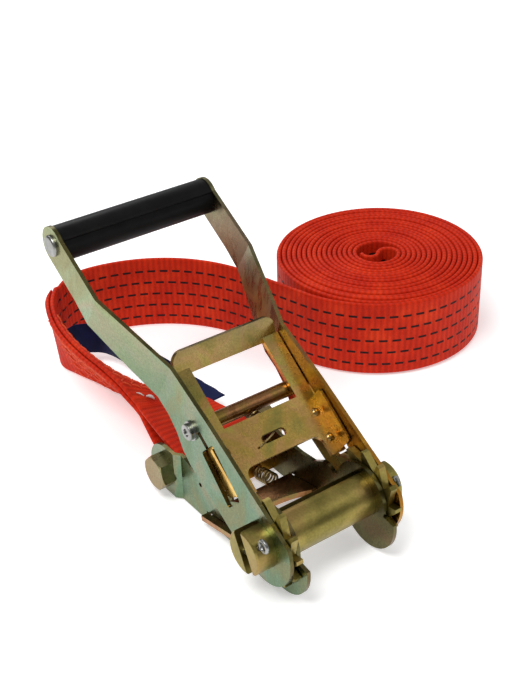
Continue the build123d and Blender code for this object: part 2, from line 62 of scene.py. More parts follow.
# ---------------------------------------------------------------- camera, light and floor
camera_lens = 63.8                 # millimetres
camera_sensor = 36                 # millimetres
camera_place = (-0.30125, -0.37618, 0.42751)
camera_turn = (57.937, 1.446, -36.486)             # degrees about X, Y and Z
light_target = (0.05, 0.1, 0.03)
lights = [                         # name, place, diameter in metres, power in watts
    ("key", (-0.7, -0.1, 1.5), 0.8, 15),
    ("fill", (1.1, -0.6, 0.9), 1.2, 3),
    ("back", (0.3, 1.4, 1.0), 1.0, 7),
]
floor_half = 6.0
floor_level = -0.8 * mm


def add_camera():
    data = bpy.data.cameras.new("camera")
    data.lens = camera_lens
    data.sensor_width = camera_sensor
    data.clip_end = 20
    camera = add_object("camera", data)
    camera.location = camera_place
    camera.rotation_euler = [math.radians(a) for a in camera_turn]
    bpy.context.scene.camera = camera


def add_area_light(name, place, diameter, power):
    data = bpy.data.lights.new(name, "AREA")
    data.shape = "DISK"
    data.size = diameter
    data.energy = power
    light = add_object(name, data)
    light.location = place
    aim = Vector(light_target) - Vector(place)
    light.rotation_euler = aim.to_track_quat("-Z", "Y").to_euler()


def add_world():
    """Soft white sky that fades to grey towards the horizon."""
    world = bpy.data.worlds.new("studio")
    world.use_nodes = True
    tree = world.node_tree
    background = tree.nodes["Background"]
    background.inputs["Strength"].default_value = 0.5
    place = tree.nodes.new("ShaderNodeTexCoord")
    height = split_axes(tree, place.outputs["Generated"])["Z"]
    stops = [(0.55, (0.5, 0.5, 0.5)), (0.9, (1, 1, 1))]
    colour_ramp(tree, height, stops, background.inputs["Color"])
    bpy.context.scene.world = world


def add_floor():
    mesh = bpy.data.meshes.new("floor")
    signs = [(-1, -1), (1, -1), (1, 1), (-1, 1)]
    corners = [(floor_half * x, floor_half * y, floor_level) for x, y in signs]
    mesh.from_pydata(corners, [], [(0, 1, 2, 3)])
    floor = add_object("floor", mesh)
    material, shader, tree = new_material("floor_paper")
    stops = [(0.3, (0.9, 0.9, 0.9)), (0.7, (0.93, 0.93, 0.93))]
    colour_ramp(tree, noise_node(tree, 30, 2), stops, shader.inputs["Base Color"])
    shader.inputs["Roughness"].default_value = 0.9
    shader.inputs["Emission Color"].default_value = (1, 1, 1, 1)
    shader.inputs["Emission Strength"].default_value = 0.42
    mesh.materials.append(material)


# ---------------------------------------------------------------- shader helpers
def new_material(name):
    material = bpy.data.materials.new(name)
    material.use_nodes = True
    shader = material.node_tree.nodes["Principled BSDF"]
    return material, shader, material.node_tree


def split_axes(tree, vector):
    split = tree.nodes.new("ShaderNodeSeparateXYZ")
    tree.links.new(vector, split.inputs[0])
    return split.outputs


def object_place(tree, scale=(1, 1, 1)):
    """Object coordinates, stretched along the axes by scale."""
    place = tree.nodes.new("ShaderNodeTexCoord")
    mapping = tree.nodes.new("ShaderNodeMapping")
    mapping.inputs["Scale"].default_value = scale
    tree.links.new(place.outputs["Object"], mapping.inputs["Vector"])
    return mapping.outputs["Vector"]


def noise_node(tree, scale, detail, place=None, distortion=0.0):
    """Noise value; its scale is in turns per metre of object space."""
    noise = tree.nodes.new("ShaderNodeTexNoise")
    noise.inputs["Scale"].default_value = scale
    noise.inputs["Detail"].default_value = detail
    noise.inputs["Distortion"].default_value = distortion
    tree.links.new(place if place is not None else object_place(tree), noise.inputs["Vector"])
    return noise.outputs["Fac"]


def colour_ramp(tree, source, stops, target=None):
    ramp = tree.nodes.new("ShaderNodeValToRGB")
    elements = ramp.color_ramp.elements
    while len(elements) < len(stops):
        elements.new(0.5)
    for element, (position, colour) in zip(elements, stops):
        element.position = position
        element.color = (*colour, 1)
    tree.links.new(source, ramp.inputs[0])
    if target is not None:
        tree.links.new(ramp.outputs[0], target)
    return ramp.outputs[0]


def math_node(tree, operation, *values):
    """Result of a Math node; each value is a number or an output socket."""
    node = tree.nodes.new("ShaderNodeMath")
    node.operation = operation
    for socket, value in zip(node.inputs, values):
        if isinstance(value, (int, float)):
            socket.default_value = value
        else:
            tree.links.new(value, socket)
    return node.outputs[0]


def mix_colours(tree, factor, first, second, blend="MIX"):
    mix = tree.nodes.new("ShaderNodeMix")
    mix.data_type = "RGBA"
    mix.blend_type = blend
    factor_input, first_input, second_input = (mix.inputs[i] for i in (0, 6, 7))
    for socket, value in ((factor_input, factor), (first_input, first), (second_input, second)):
        if isinstance(value, (int, float)):
            socket.default_value = value
        elif isinstance(value, tuple):
            socket.default_value = (*value, 1)
        else:
            tree.links.new(value, socket)
    return mix.outputs[2]


def add_bump(tree, shader, height, strength, distance):
    bump = tree.nodes.new("ShaderNodeBump")
    bump.inputs["Strength"].default_value = strength
    bump.inputs["Distance"].default_value = distance
    tree.links.new(height, bump.inputs["Height"])
    tree.links.new(bump.outputs["Normal"], shader.inputs["Normal"])


def map_range(tree, source, low, high, to_low, to_high, target=None):
    node = tree.nodes.new("ShaderNodeMapRange")
    limits = {"From Min": low, "From Max": high, "To Min": to_low, "To Max": to_high}
    for name, value in limits.items():
        node.inputs[name].default_value = value
    tree.links.new(source, node.inputs["Value"])
    if target is not None:
        tree.links.new(node.outputs[0], target)
    return node.outputs[0]


# ---------------------------------------------------------------- materials
def height_blend(tree, low, high):
    """0 below the low height and 1 above the high one, with a cloudy edge."""
    place = tree.nodes.new("ShaderNodeTexCoord")
    height = split_axes(tree, place.outputs["Object"])["Z"]
    cloud = map_range(tree, noise_node(tree, 45, 4), 0.2, 0.8, -12 * mm, 12 * mm)
    return map_range(tree, math_node(tree, "ADD", height, cloud), low, high, 0, 1)


def cloudy_tone(tree, cloud, stops, upper, low, high):
    """Tone of a sheet; the upper stops, if any, take over between the low and the high height."""
    colour = colour_ramp(tree, cloud, stops)
    if upper:
        far = colour_ramp(tree, cloud, upper)
        colour = mix_colours(tree, height_blend(tree, low, high), colour, far)
    return colour


def normal_x(tree):
    geometry = tree.nodes.new("ShaderNodeNewGeometry")
    return split_axes(tree, geometry.outputs["True Normal"])["X"]


def zinc_plate(
    name, stops, painted_reflection_side=0, roughness=(0.2, 0.36), upper=None, painted_reflection=None, painted_reflection_upper=None, sides=None
):
    """Yellow-passivated steel sheet.

    The upper stops replace the lower ones high on the part. The face that looks along the side sign times
    X takes the reflection stops and their own upper stops: paler tones, a painted reflection of the
    bright floor.
    The sides stops are painted light: the faces that look along X either way take a brighter tone,
    standing in for the light that their shadowed recess keeps off.
    """
    material, shader, tree = new_material(name)
    cloud = map_range(tree, noise_node(tree, 40, 5, distortion=0.7), 0.26, 0.74, 0, 1)
    colour = cloudy_tone(tree, cloud, stops, upper, 75 * mm, 115 * mm)
    # painted reflection: the face turned along the side sign takes paler tones that stand in for the
    # bright floor it mirrors
    if painted_reflection_side:
        painted_reflection_cloud = map_range(tree, noise_node(tree, 26, 3, distortion=0.6), 0.22, 0.78, 0, 1)
        outside = cloudy_tone(tree, painted_reflection_cloud, painted_reflection, painted_reflection_upper, 60 * mm, 110 * mm)
        outward = map_range(tree, normal_x(tree), 0.45 * painted_reflection_side, 0.6 * painted_reflection_side, 0, 1)
        colour = mix_colours(tree, outward, colour, outside)
    # painted light: the faces that look along X sit in shade inside the arm's window, so they take a
    # brighter gold than that shade would leave them
    if sides:
        painted_light_flank = colour_ramp(tree, cloud, sides)
        sideways = map_range(tree, math_node(tree, "ABSOLUTE", normal_x(tree)), 0.6, 0.8, 0, 1)
        colour = mix_colours(tree, sideways, colour, painted_light_flank)
    speck = noise_node(tree, 900, 2)
    shade = map_range(tree, speck, 0.3, 0.7, 0.84, 1.1)
    colour = mix_colours(tree, 1.0, colour, shade, "MULTIPLY")
    tree.links.new(colour, shader.inputs["Base Color"])
    shader.inputs["Metallic"].default_value = 1.0
    smear = noise_node(tree, 70, 4, object_place(tree, (1, 3, 1)))
    map_range(tree, smear, 0.3, 0.7, *roughness, shader.inputs["Roughness"])
    grain = noise_node(tree, 1400, 3, object_place(tree, (1, 0.25, 0.25)))
    add_bump(tree, shader, grain, 0.16, 0.0002)
    return material


def bright_steel():
    """Unplated rivet steel, with faint turning marks."""
    material, shader, tree = new_material("bright_steel")
    stops = [(0.3, (0.20, 0.20, 0.19)), (0.7, (0.38, 0.38, 0.37))]
    colour_ramp(tree, noise_node(tree, 120, 4), stops, shader.inputs["Base Color"])
    shader.inputs["Metallic"].default_value = 1.0
    map_range(tree, noise_node(tree, 260, 3), 0.3, 0.7, 0.22, 0.4, shader.inputs["Roughness"])
    add_bump(tree, shader, noise_node(tree, 900, 3), 0.15, 0.0002)
    return material


def spring_wire():
    """Brown oil-tempered wire."""
    material, shader, tree = new_material("spring_wire")
    stops = [(0.35, (0.20, 0.13, 0.05)), (0.65, (0.46, 0.36, 0.17))]
    colour_ramp(tree, noise_node(tree, 200, 3), stops, shader.inputs["Base Color"])
    shader.inputs["Metallic"].default_value = 1.0
    map_range(tree, noise_node(tree, 400, 2), 0.3, 0.7, 0.25, 0.45, shader.inputs["Roughness"])
    add_bump(tree, shader, noise_node(tree, 1500, 2), 0.15, 0.0001)
    return material


def grip_plastic():
    """Black moulded sleeve: fine pebble grain with faint lengthwise draw lines."""
    material, shader, tree = new_material("grip_plastic")
    stops = [(0.3, (0.003, 0.003, 0.0032)), (0.75, (0.007, 0.007, 0.0072))]
    colour_ramp(tree, noise_node(tree, 90, 4), stops, shader.inputs["Base Color"])
    lines = noise_node(tree, 500, 2, object_place(tree, (0.04, 1, 1)))
    map_range(tree, lines, 0.3, 0.7, 0.34, 0.5, shader.inputs["Roughness"])
    pebble = noise_node(tree, 2600, 2)
    add_bump(tree, shader, math_node(tree, "ADD", lines, pebble), 0.12, 0.0002)
    shader.inputs["Specular IOR Level"].default_value = 0.1
    return material


def ribbon_place(tree):
    """Distance along the ribbon and across it, in metres, from its UV map."""
    uv = tree.nodes.new("ShaderNodeUVMap")
    uv.uv_map = "ribbon"
    place = split_axes(tree, uv.outputs[0])
    return place["X"], place["Y"]


def wave(tree, source, period, shift=0.0):
    """Sine of a distance, from 0 to 1, with the given period."""
    turns = math_node(tree, "MULTIPLY_ADD", source, 2 * math.pi / period, shift)
    return math_node(tree, "MULTIPLY_ADD", math_node(tree, "SINE", turns), 0.5, 0.5)


tracer_rows = 5
tracer_spacing = 8.4 * mm
tracer_period = 8.2 * mm
tracer_length = 0.64               # share of the period that is thread
tracer_stagger = 0.37              # share of the period from one row to the next
tracer_half_width = 0.75 * mm
tracer_shift = -0.8 * mm           # the rows lie a little below the middle
rib_period = 3.7 * mm
pick_period = 0.9 * mm             # fine threads across the strap
cord_period = 1.05 * mm            # threads along the strap
twill_period = 1.9 * mm
label_weave_period = 0.6 * mm


def tracer_threads(tree, along, across):
    """1 on the staggered rows of black tracer stitches, 0 elsewhere."""
    shifted = math_node(tree, "SUBTRACT", across, tracer_shift)
    rows = math_node(tree, "DIVIDE", shifted, tracer_spacing)
    row = math_node(tree, "ROUND", rows)
    off_row = math_node(tree, "ABSOLUTE", math_node(tree, "SUBTRACT", rows, row))
    on_row = math_node(tree, "LESS_THAN", off_row, tracer_half_width / tracer_spacing)
    inside = math_node(tree, "LESS_THAN", math_node(tree, "ABSOLUTE", row), tracer_rows / 2)
    stagger = math_node(tree, "MULTIPLY", row, tracer_stagger)
    turns = math_node(tree, "MULTIPLY_ADD", along, 1 / tracer_period, stagger)
    dash = math_node(tree, "LESS_THAN", math_node(tree, "FRACT", turns), tracer_length)
    return math_node(tree, "MULTIPLY", math_node(tree, "MULTIPLY", on_row, inside), dash)


def webbing_cloth(name, tracer_end):
    """Ribbed webbing: cross ribs, twill grain, a soft sheen, and tracers as far as tracer_end."""
    material, shader, tree = new_material(name)
    along, across = ribbon_place(tree)
    drift = noise_node(tree, 25, 3)
    wobble = math_node(tree, "MULTIPLY_ADD", drift, 1.6 * mm, -0.8 * mm)
    rib = wave(tree, math_node(tree, "ADD", along, wobble), rib_period)
    cord = wave(tree, across, cord_period)
    weave = math_node(tree, "MULTIPLY", wave(tree, along, pick_period), cord)
    twill = wave(tree, math_node(tree, "ADD", along, across), twill_period)
    colour = colour_ramp(tree, noise_node(tree, 60, 4), webbing_red)
    # painted shade: the rib troughs and the gaps between threads are darkened in the colour, on top of
    # the bump
    shade = math_node(tree, "MULTIPLY_ADD", rib, 0.26, 0.76)
    shade = math_node(tree, "MULTIPLY_ADD", weave, 0.16, shade)
    fuzz = map_range(tree, noise_node(tree, 1600, 2), 0.3, 0.7, 0.92, 1.06)
    colour = mix_colours(tree, 1.0, colour, math_node(tree, "MULTIPLY", shade, fuzz), "MULTIPLY")
    height = math_node(tree, "MULTIPLY_ADD", rib, 0.8, weave)
    height = math_node(tree, "MULTIPLY_ADD", twill, 0.35, height)
    unsewn = math_node(tree, "LESS_THAN", along, tracer_end)
    threads = math_node(tree, "MULTIPLY", tracer_threads(tree, along, across), unsewn)
    colour = mix_colours(tree, threads, colour, tracer_black)
    height = math_node(tree, "MULTIPLY_ADD", threads, -0.7, height)
    tree.links.new(colour, shader.inputs["Base Color"])
    add_bump(tree, shader, height, 0.55, 0.0004)
    map_range(tree, cord, 0, 1, 0.52, 0.7, shader.inputs["Roughness"])
    shader.inputs["Sheen Weight"].default_value = 0.02
    shader.inputs["Sheen Roughness"].default_value = 0.4
    shader.inputs["Sheen Tint"].default_value = (1.0, 0.35, 0.2, 1)
    shader.inputs["Specular IOR Level"].default_value = 0.14
    return material


def label_cloth():
    """Thin navy woven label with a fine weave and slightly paler worn patches."""
    material, shader, tree = new_material("label_cloth")
    along, across = ribbon_place(tree)
    stops = [(0.35, (0.003, 0.008, 0.045)), (0.7, (0.008, 0.018, 0.095))]
    colour = colour_ramp(tree, noise_node(tree, 80, 4), stops)
    along_threads = wave(tree, along, label_weave_period)
    across_threads = wave(tree, across, label_weave_period)
    weave = math_node(tree, "MULTIPLY", along_threads, across_threads)
    # painted shade: the gaps between the label's threads are darkened in the colour, on top of the bump
    shade = math_node(tree, "MULTIPLY_ADD", weave, 0.35, 0.85)
    colour = mix_colours(tree, 1.0, colour, shade, "MULTIPLY")
    tree.links.new(colour, shader.inputs["Base Color"])
    add_bump(tree, shader, weave, 0.3, 0.0002)
    map_range(tree, weave, 0, 1, 0.45, 0.65, shader.inputs["Roughness"])
    shader.inputs["Sheen Weight"].default_value = 0.02
    shader.inputs["Specular IOR Level"].default_value = 0.15
    return material


def thread_cloth(name, dark, light):
    """Twisted sewing thread."""
    material, shader, tree = new_material(name)
    twist = noise_node(tree, 1500, 2, object_place(tree, (1, 3, 1)))
    colour_ramp(tree, twist, [(0.35, dark), (0.65, light)], shader.inputs["Base Color"])
    shader.inputs["Roughness"].default_value = 0.75
    add_bump(tree, shader, twist, 0.4, 0.0002)
    return material


# tones: the stops of each ramp, as places from 0 to 1 and linear colours
webbing_red = [(0.3, (0.56, 0.016, 0.002)), (0.55, (0.66, 0.026, 0.003)), (0.75, (0.76, 0.042, 0.006))]
tracer_black = (0.022, 0.006, 0.006)
olive_gold = [
    (0.26, (0.219, 0.189, 0.049)),
    (0.42, (0.327, 0.222, 0.053)),
    (0.56, (0.376, 0.222, 0.078)),
    (0.72, (0.352, 0.277, 0.065)),
]
golden = [(0.3, (0.288, 0.133, 0.018)), (0.5, (0.416, 0.213, 0.027)), (0.7, (0.336, 0.146, 0.043))]
grey_olive = [(0.3, (0.150, 0.140, 0.068)), (0.5, (0.210, 0.190, 0.104)), (0.7, (0.230, 0.170, 0.104))]
spindle_tone = [(0.3, (0.242, 0.200, 0.054)), (0.5, (0.332, 0.265, 0.074)), (0.72, (0.347, 0.237, 0.081))]
copper_pink = [(0.3, (0.220, 0.101, 0.037)), (0.5, (0.330, 0.156, 0.065)), (0.72, (0.253, 0.166, 0.041))]
pawl_tone = [
    (0.30, (0.231, 0.109, 0.039)),
    (0.48, (0.420, 0.200, 0.086)),
    (0.60, (0.315, 0.237, 0.078)),
    (0.75, (0.504, 0.200, 0.094)),
]
# painted shade: darker olive for the edges and inner faces of the left arm and the frame plates, the same
# plating as their outer faces darkened where shade falls
painted_shade_olive = [(0.3, (0.084, 0.076, 0.028)), (0.5, (0.134, 0.118, 0.044)), (0.72, (0.151, 0.105, 0.044))]
# painted light: bright gold for the trigger's flanks in the arm's window, standing in for the light their
# shadowed recess keeps off
painted_light_gold = [(0.3, (0.62, 0.36, 0.07)), (0.5, (0.85, 0.55, 0.14)), (0.7, (0.70, 0.36, 0.14))]
bolt_tone = [(0.3, (0.17, 0.16, 0.07)), (0.5, (0.27, 0.25, 0.12)), (0.72, (0.28, 0.21, 0.10))]
# the plating's own iridescent tints, painted paler for the outer faces of the arms and frame plates as a
# painted reflection of the bright floor; the bronze stops are used high on the arms
tint_and_reflection_green = [
    (0.26, (0.185, 0.197, 0.091)),
    (0.42, (0.141, 0.221, 0.126)),
    (0.55, (0.163, 0.246, 0.161)),
    (0.66, (0.229, 0.238, 0.140)),
    (0.80, (0.207, 0.279, 0.182)),
]
tint_and_reflection_bronze = [
    (0.26, (0.246, 0.238, 0.099)),
    (0.42, (0.271, 0.326, 0.167)),
    (0.56, (0.328, 0.299, 0.182)),
    (0.72, (0.246, 0.334, 0.198)),
]


def dress_cad_nodes():
    """Give every CAD node its material; the nodes not named here are bright steel."""
    steel = bright_steel()
    looks = {
        # outer faces of the arms and frame plates take paler tones, a painted reflection; the left arm's
        # and frame plates' other faces take painted shade
        "handle_arm_left": zinc_plate(
            "zinc_arm_left", painted_shade_olive, -1, painted_reflection=tint_and_reflection_green, painted_reflection_upper=tint_and_reflection_bronze
        ),
        "handle_arm_right": zinc_plate(
            "zinc_arm_right", golden, 1, upper=grey_olive, painted_reflection=tint_and_reflection_green, painted_reflection_upper=tint_and_reflection_bronze
        ),
        "frame_plate_left": zinc_plate("zinc_frame_left", painted_shade_olive, -1, painted_reflection=tint_and_reflection_green),
        "frame_plate_right": zinc_plate("zinc_frame_right", painted_shade_olive, 1, painted_reflection=tint_and_reflection_green),
        # trigger: its flanks in the arm's window take painted light
        "trigger_plate": zinc_plate("zinc_trigger", olive_gold, upper=grey_olive, sides=painted_light_gold),
        "spindle": zinc_plate("zinc_spindle", spindle_tone, roughness=(0.3, 0.42)),
        "wheels": zinc_plate("zinc_wheels", spindle_tone, roughness=(0.28, 0.46)),
        "crossbar_tube": zinc_plate("zinc_crossbar", copper_pink, roughness=(0.22, 0.34)),
        "frame_pawl": zinc_plate("zinc_pawl", pawl_tone, roughness=(0.14, 0.26)),
        "frame_cross_plate": zinc_plate("zinc_cross_plate", golden),
        "anchor": zinc_plate("zinc_bolt", bolt_tone, roughness=(0.24, 0.38)),
        "springs": spring_wire(),
        "grip_sleeve": grip_plastic(),
    }
    shared = {
        "half_shaft_front": "spindle",
        "half_shaft_rear": "spindle",
        "ratchet_wheel_left": "wheels",
        "ratchet_wheel_right": "wheels",
        "anchor_bolt": "anchor",
        "anchor_nut": "anchor",
        "anchor_sleeve": "anchor",
        "pawl_springs": "springs",
        "trigger_spring": "springs",
    }
    for name, node in nodes.items():
        material = looks.get(shared.get(name, name), steel)
        for material_slot in node.material_slots:
            material_slot.material = material


# ---------------------------------------------------------------- ribbons
def unit(vectors):
    return vectors / np.linalg.norm(vectors, axis=-1, keepdims=True)


def add_frame_piece(name, mesh, material):
    """Smooth-shaded piece that stays with the frame."""
    mesh.polygons.foreach_set("use_smooth", [True] * len(mesh.polygons))
    mesh.materials.append(material)
    piece = add_object(name, mesh)
    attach(piece, "frame")
    return piece


def ribbon_profile(width, thickness):
    """Closed cross-section as (across, through) pairs: flat faces and rounded edges."""
    radius = thickness / 2
    flat = width / 2 - radius
    turn = np.radians(np.linspace(75, -75, 6))
    right = [(flat + radius * math.cos(a), radius * math.sin(a)) for a in turn]
    face = [(w, radius) for w in np.linspace(-flat, flat, 9)]
    back = [(-w, -t) for w, t in face]
    left = [(-w, -t) for w, t in right]
    return np.array(face + right + back + left)


def ribbon(name, left, right, thickness, material, fullness=None):
    """Closed ribbon between two edge lines, with its length and width in its UV map.

    Fullness gives the share of the thickness at each point. Returns the piece and its length.
    """
    if fullness is None:
        fullness = np.ones(len(left))
    left = np.array(left)
    right = np.array(right)
    middle = (left + right) / 2
    along = unit(np.gradient(middle, axis=0))
    across = unit(left - right)
    through = unit(np.cross(across, along))
    width = float(np.median(np.linalg.norm(left - right, axis=1)))
    profile = ribbon_profile(width, thickness)
    steps = np.linalg.norm(np.diff(middle, axis=0), axis=1)
    distance = np.concatenate([[0], np.cumsum(steps)])
    points = (
        middle[:, None]
        + across[:, None] * profile[None, :, :1]
        + through[:, None] * profile[None, :, 1:] * fullness[:, None, None]
    )
    count, ring = points.shape[:2]
    here = np.arange(count - 1)[:, None] * ring
    beyond = here + ring
    columns = np.arange(ring)[None]
    after = (columns + 1) % ring
    quads = np.stack([here + columns, here + after, beyond + after, beyond + columns], -1)
    start_cap = tuple(range(ring))[::-1]
    end_cap = tuple(range((count - 1) * ring, count * ring))
    faces = [tuple(q) for q in quads.reshape(-1, 4).tolist()] + [start_cap, end_cap]
    mesh = bpy.data.meshes.new(name)
    mesh.from_pydata(points.reshape(-1, 3).tolist(), [], faces)
    uv = mesh.uv_layers.new(name="ribbon")
    index = np.zeros(len(mesh.loops), np.int32)
    mesh.loops.foreach_get("vertex_index", index)
    places = np.stack([distance[index // ring], profile[index % ring, 0]], -1)
    uv.data.foreach_set("uv", places.astype(np.float32).ravel())
    return add_frame_piece(name, mesh, material), float(distance[-1])


def smooth_line(points, spacing):
    """Cubic curve through the points, sampled about every spacing."""
    points = np.array(points, float)
    knots = np.concatenate([[0], np.cumsum(np.linalg.norm(np.diff(points, axis=0), axis=1))])
    slopes = np.gradient(points, knots, axis=0)
    count = max(int(knots[-1] / spacing), 2)
    result = []
    for t in np.linspace(0, knots[-1], count):
        i = min(int(np.searchsorted(knots, t, side="right")) - 1, len(points) - 2)
        span = knots[i + 1] - knots[i]
        f = (t - knots[i]) / span
        before = (1 + 2 * f) * (1 - f) ** 2 * points[i] + f * (1 - f) ** 2 * span * slopes[i]
        after = f * f * (3 - 2 * f) * points[i + 1] + f * f * (f - 1) * span * slopes[i + 1]
        result.append(before + after)
    return np.array(result)


def matched_edges(stations, spacing):
    """Smooth left and right edges through the stations, with the same number of points, in metres."""
    left = smooth_line([p[0] for p in stations], spacing) * mm
    right = smooth_line([p[1] for p in stations], spacing) * mm
    shares = np.linspace(0, 1, min(len(left), len(right)))
    left = np.array([left[round(f * (len(left) - 1))] for f in shares])
    right = np.array([right[round(f * (len(right) - 1))] for f in shares])
    return left, right


# ---------------------------------------------------------------- the strap
coil_low, coil_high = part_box("webbing_coil")
coil_centre = np.array([(coil_low.x + coil_high.x) / 2, (coil_low.y + coil_high.y) / 2])
coil_radius = (coil_high.x - coil_low.x) / 2
sleeve_low, sleeve_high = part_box("anchor_sleeve")
bolt = np.array([(sleeve_low.y + sleeve_high.y) / 2, (sleeve_low.z + sleeve_high.z) / 2])
sleeve_radius = (sleeve_high.y - sleeve_low.y) / 2

departure = math.radians(104.6)    # heading of the strap where it leaves the coil
inner_radius = 13.6 * mm           # centre line of the innermost turn
outer_radius = coil_radius - strap_thickness / 2 + 0.2 * mm
run_radius = coil_radius + 1.7 * mm                # centre line of the run where it leaves the coil
coil_turns = 16.36
coil_step = 1.6 * mm
loose_gap = 2.85 * mm              # how far the outer turn stands off where the strap leaves
loose_span = math.radians(25)      # the gap closes to about a third over this angle
big_wave = 0.16 * mm               # twice round each turn, so that it isn't a true circle
small_wave = 0.12 * mm             # three times round
small_fold = 5.3 * mm              # radius of the tighter half of the S fold
ground_gap = 0.1 * mm


def arc_from(start, heading, end, spacing):
    """Points of the arc that leaves start along heading and passes through end, and its end heading."""
    chord = np.array(end) - np.array(start)
    bend = math.atan2(chord[1], chord[0]) - heading
    bend = (bend + math.pi) % (2 * math.pi) - math.pi
    radius = np.linalg.norm(chord) / (2 * math.sin(bend))
    centre = np.array(start) + radius * np.array([-math.sin(heading), math.cos(heading)])
    count = max(int(abs(radius * 2 * bend) / spacing), 3)
    turns = np.linspace(0, 2 * bend, count)
    points = [
        centre + radius * np.array([math.sin(heading + a), -math.cos(heading + a)]) for a in turns
    ]
    return points, heading + 2 * bend


def coil_path():
    """Plan of the wound strap, from the S fold in its eye to the outside."""
    turn_pitch = (outer_radius - inner_radius) / coil_turns
    start_angle = departure + math.pi / 2
    points = []
    angle = 0.0
    while angle < coil_turns * 2 * math.pi:
        loose = loose_gap * math.exp(-angle / loose_span)
        place = start_angle + angle
        waves = big_wave * math.sin(2 * place + 0.6) + small_wave * math.sin(3 * place + angle * 0.02)
        fade = min(1.0, angle / math.pi)
        radius = outer_radius - turn_pitch * angle / (2 * math.pi) + loose + fade * waves
        points.append((radius, place))
        angle += coil_step / radius
    line = [coil_centre + r * np.array([math.cos(a), math.sin(a)]) for r, a in points]
    end_radius, end_angle = points[-1]
    direction = np.array([math.cos(end_angle), math.sin(end_angle)])
    side = np.array([-direction[1], direction[0]])
    big_fold = end_radius / 2
    for a in np.linspace(0, math.pi, 12)[1:]:
        outward = direction * (1 + math.cos(a)) + side * math.sin(a)
        line.append(coil_centre + big_fold * outward)
    for a in np.linspace(0, math.pi * 0.93, 11)[1:]:
        inward = direction * (1 - math.cos(a)) + side * math.sin(a)
        line.append(coil_centre - small_fold * inward)
    return np.array(line[::-1])


def upright_edges(line, lift):
    """Edges of a strap that stands on the ground along a plan line."""
    low = np.column_stack([line, lift])
    high = np.column_stack([line, lift + strap_width])
    return high, low


join = np.array([-12.0, 245.0]) * mm               # where the single strap meets the sewn end
run_middle = coil_centre + np.array([-81.7, 34.0]) * mm
run_top = join + np.array([34.0, 20.0]) * mm
run_spacing = 2 * mm
run_left_out = 6                   # last points of the run, where the sewn end takes over


def run_path():
    """Plan of the single strap, from the coil round the bend to the sewn end."""
    start = coil_centre + run_radius * np.array([-math.sin(departure), math.cos(departure)])
    straight = [start + (run_middle - start) * t for t in np.linspace(0, 1, 27)]
    first, heading = arc_from(run_middle, departure, run_top, run_spacing)
    second, _ = arc_from(run_top, heading, join, run_spacing)
    return np.array(straight[1:] + first[1:] + second[1:-run_left_out])


# edges of the sewn double end in millimetres: left (x, y, z), then right, from the join towards the bolt
tail_stations = [
    ((-8.2, 255.6, 49.9), (-6.2, 255.6, 0.2)),
    ((-15.4, 247.6, 49.6), (-11.0, 248.6, 0.3)),
    ((-20.8, 239.5, 48.6), (-12.6, 241.0, 0.5)),
    ((-25.2, 227.5, 46.6), (-10.2, 229.5, 1.0)),
    ((-28.0, 210.5, 44.0), (-5.6, 211.5, 1.8)),
    ((-28.6, 190.0, 42.4), (-1.2, 190.0, 2.8)),
    ((-28.0, 168.0, 41.6), (5.0, 168.0, 5.0)),
    ((-27.4, 150.0, 39.4), (13.0, 150.0, 10.5)),
    ((-26.8, 134.5, 34.2), (21.5, 132.0, 16.0)),
]
tail_spacing = 2.2                 # millimetres
lead_in = 10                       # points over which the two layers part
unsewn_lead = 3                    # points past the join that still show tracers
end_taper = (0.3, 0.5, 0.65, 0.8, 0.9, 0.97)       # thickness of the outer layer's end, point by point
layer_offset = strap_thickness / 2 + 0.1 * mm
loop_reach = 39 * mm               # from the bolt's axis to where the two layers meet
loop_left = (math.radians(26.5), -26.6 * mm)       # rise of the loop and x of its edge
loop_right = (math.radians(2), 23.2 * mm)


def tail_edges():
    """Edges of the sewn end's middle surface, and the direction of its upper face."""
    left, right = matched_edges(tail_stations, tail_spacing)
    middle = (left + right) / 2
    half = unit(left - right) * strap_width / 2
    along = unit(np.gradient(middle, axis=0))
    inward = unit(np.cross(unit(half), along))
    return middle + half, middle - half, inward


def loop_edge(rise, x):
    """One edge of the loop round the bolt, from the upper layer to the lower one.

    It is drawn in the plane across the bolt, lying flat, and then turned up by rise.
    """
    radius = sleeve_radius + strap_thickness / 2 + 0.3 * mm
    lean = math.asin((radius - layer_offset) / loop_reach)
    meeting = np.array([loop_reach, layer_offset])
    top = np.array([radius * math.sin(lean), radius * math.cos(lean)])
    flat = [meeting * (1 - t) + top * t for t in np.linspace(0.05, 0.95, 12)]
    turn = np.linspace(math.pi / 2 - lean, 3 * math.pi / 2 + lean, 22)
    arc = [radius * np.array([math.cos(a), math.sin(a)]) for a in turn]
    under = [np.array([p[0], -p[1]]) for p in flat[::-1]]
    spin = np.array([[math.cos(rise), -math.sin(rise)], [math.sin(rise), math.cos(rise)]])
    return [(x, *(bolt + spin @ p)) for p in flat + arc + under]


def coil_lift(count):
    """Height of the coil's lower edge: it wanders a little, and comes down where the strap leaves."""
    turns = np.linspace(0, 17 * 2 * math.pi, count)
    ease = np.clip((count - np.arange(count)) / 60, 0, 1)
    slip = (0.35 + 0.3 * np.sin(turns * 0.31) + 0.15 * np.sin(turns * 1.7)) * mm
    return slip * ease + ground_gap


